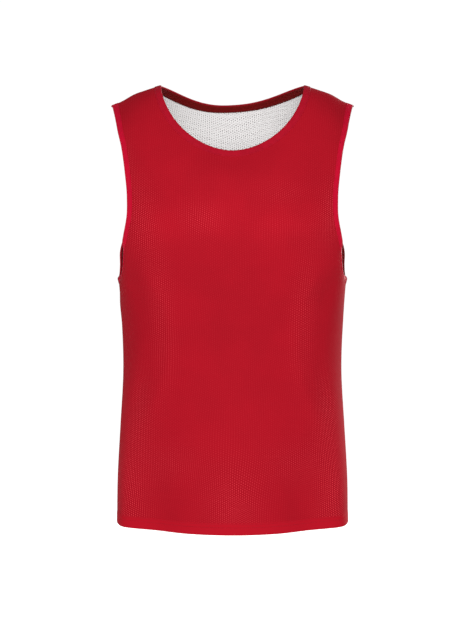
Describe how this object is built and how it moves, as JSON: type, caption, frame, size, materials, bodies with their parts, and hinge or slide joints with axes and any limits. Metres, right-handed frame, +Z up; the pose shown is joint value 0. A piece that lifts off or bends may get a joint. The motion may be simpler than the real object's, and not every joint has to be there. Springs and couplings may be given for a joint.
{
  "type": "reversible training bib",
  "caption": "Sleeveless reversible training bib in two layers of mesh, red outside and white inside, with a round bound neck and deep bound armholes, filled out as worn.",
  "frame": {"origin": "midway between the two shoulder straps, at the height where the wearer's shoulders carry the bib", "axes": "+Z up from the hem to the neck, -Y out of the front, +X to the right of someone who looks at the front"},
  "size_m": [0.375, 0.2406, 0.6821],
  "materials": {
    "outer_front": "matt knitted mesh, bright red",
    "outer_back": "matt knitted mesh, bright red",
    "inner_front": "matt knitted mesh, off-white",
    "inner_back": "matt knitted mesh, off-white",
    "neck_binding": "smooth matt knitted strip, deep red",
    "armhole_binding_left": "smooth matt knitted strip, deep red",
    "armhole_binding_right": "smooth matt knitted strip, deep red"
  },
  "bodies": {
    "root": {"outer_front": "outer_front", "outer_back": "outer_back", "inner_front": "inner_front", "inner_back": "inner_back", "neck_binding": "neck_binding", "armhole_binding_left": "armhole_binding_left", "armhole_binding_right": "armhole_binding_right"}
  },
  "joints": []
}
